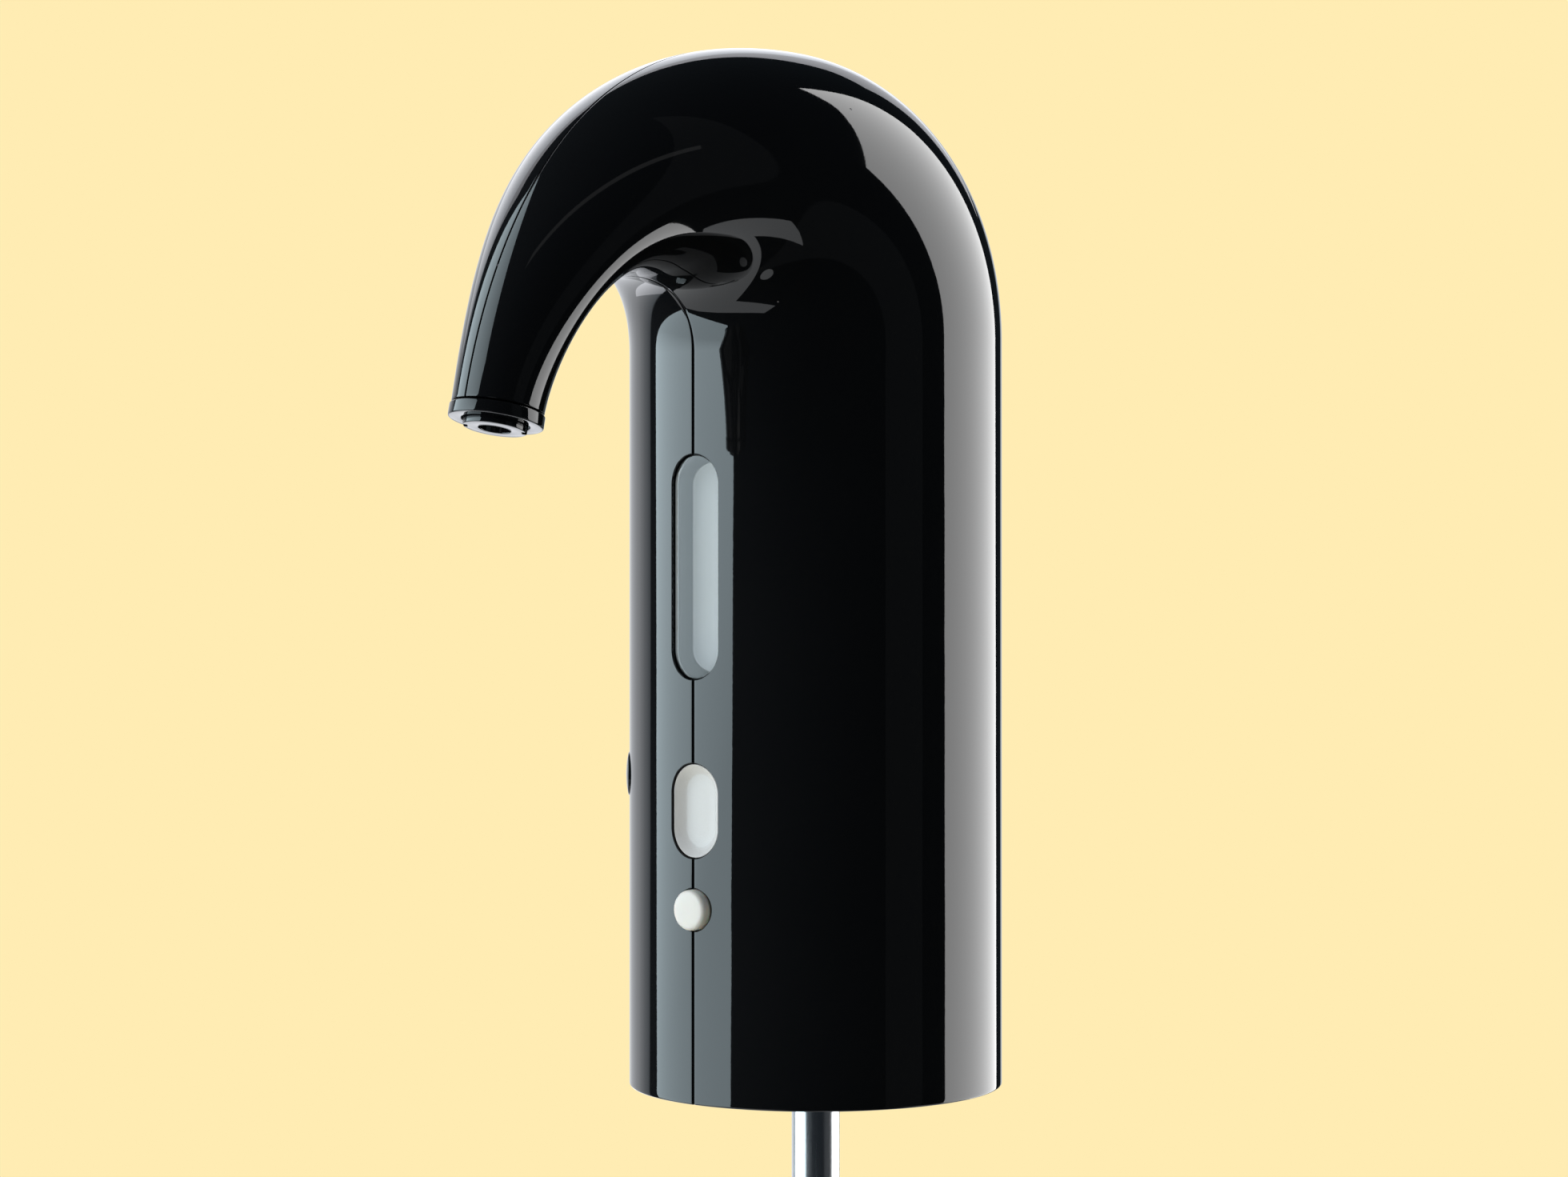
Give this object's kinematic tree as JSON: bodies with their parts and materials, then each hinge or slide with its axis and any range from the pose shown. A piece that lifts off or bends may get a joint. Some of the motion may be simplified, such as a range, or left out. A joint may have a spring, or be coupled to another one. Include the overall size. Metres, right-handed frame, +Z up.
{
  "type": "electric wine aerator",
  "caption": "Cane-shaped electric wine aerator: a round body that seats on a bottle neck, with a hooked pouring spout, front buttons, a long window and a telescoping dip tube.",
  "frame": {"origin": "centre of the base rim, on the axis of the round body, where the bottle neck enters", "axes": "+Z up along the body and the bottle, the spout hooks over towards -Y, +X to the right seen from the front"},
  "size_m": [0.062, 0.1135, 0.3144],
  "materials": {
    "gloss_black": "high gloss",
    "black_plastic": "fine matte",
    "dark_silicone": "matte",
    "clear_silicone": "satin, translucent",
    "steel": "satin",
    "screw_steel": "satin",
    "clear_lens": "polished clear plastic",
    "pale_grey": "satin",
    "lamp": "satin",
    "satin_silver": "fine satin",
    "ivory": "satin",
    "cell_wrap": "shrink film",
    "circuit_board": "solder mask",
    "red_lead": "satin",
    "black_lead": "satin"
  },
  "bodies": {
    "housing": {"right_shell": "gloss_black", "left_shell": "gloss_black", "nozzle_ring": "gloss_black", "nozzle_insert": "gloss_black", "base_cup": "black_plastic", "manifold": "black_plastic", "dip_tube_ring": "black_plastic", "bottle_stopper": "dark_silicone", "tube_seal": "dark_silicone", "pump_sleeve": "dark_silicone", "pump_diaphragm": "dark_silicone", "dip_tube_upper": "steel", "side_button_spring": "steel", "pump_motor": "steel", "charge_socket": "steel", "wine_hose": "clear_silicone", "upper_air_hose": "clear_silicone", "lower_air_hose": "clear_silicone", "window_lens": "clear_lens", "window_tray": "pale_grey", "led_strip": "lamp", "release_valve": "black_plastic", "chassis": "black_plastic", "battery_cell": "cell_wrap", "main_board": "circuit_board", "charge_board": "circuit_board", "main_switch": "black_plastic", "power_switch": "black_plastic", "pump_case": "black_plastic", "wobble_plate": "black_plastic", "valve_plate": "black_plastic", "pump_cap": "black_plastic", "check_valve": "black_plastic", "battery_lead": "red_lead", "motor_lead": "red_lead", "charge_lead": "red_lead", "battery_return_lead": "black_lead", "motor_return_lead": "black_lead", "base_screw_1": "screw_steel", "base_screw_2": "screw_steel", "base_screw_3": "screw_steel", "base_screw_4": "screw_steel", "chassis_screw_1": "screw_steel", "chassis_screw_2": "screw_steel", "chassis_screw_3": "screw_steel", "board_screw_1": "screw_steel", "board_screw_2": "screw_steel", "pump_screw_1": "screw_steel", "pump_screw_2": "screw_steel", "pump_screw_3": "screw_steel"},
    "main_button": {"main_button": "satin_silver"},
    "power_button": {"power_button": "ivory"},
    "side_button": {"side_button": "gloss_black"},
    "sliding_tube": {"dip_tube_lower": "steel", "dip_tube_foot": "black_plastic"},
    "rotor": {"motor_shaft": "steel", "pump_crank": "black_plastic"}
  },
  "joints": [
    {"name": "main_button_press", "type": "slide", "parent": "housing", "child": "main_button", "axis": [0, 1, 0], "range_m": [0, 0.0006], "stiffness_N_per_m": 400, "springref_m": -0.0005},
    {"name": "power_button_press", "type": "slide", "parent": "housing", "child": "power_button", "axis": [0, 1, 0], "range_m": [0, 0.0006], "stiffness_N_per_m": 400, "springref_m": -0.0005},
    {"name": "side_button_press", "type": "slide", "parent": "housing", "child": "side_button", "axis": [0.766, 0.6428, 0], "range_m": [0, 0.0006], "stiffness_N_per_m": 400, "springref_m": -0.0005},
    {"name": "dip_tube_slide", "type": "slide", "parent": "housing", "child": "sliding_tube", "axis": [0, 0, -1], "range_m": [0, 0.095]},
    {"name": "motor_spin", "type": "hinge", "parent": "housing", "child": "rotor", "pos_m": [0.01408, 0.00598, 0.1], "axis": [0, 0, 1], "continuous": true}
  ]
}
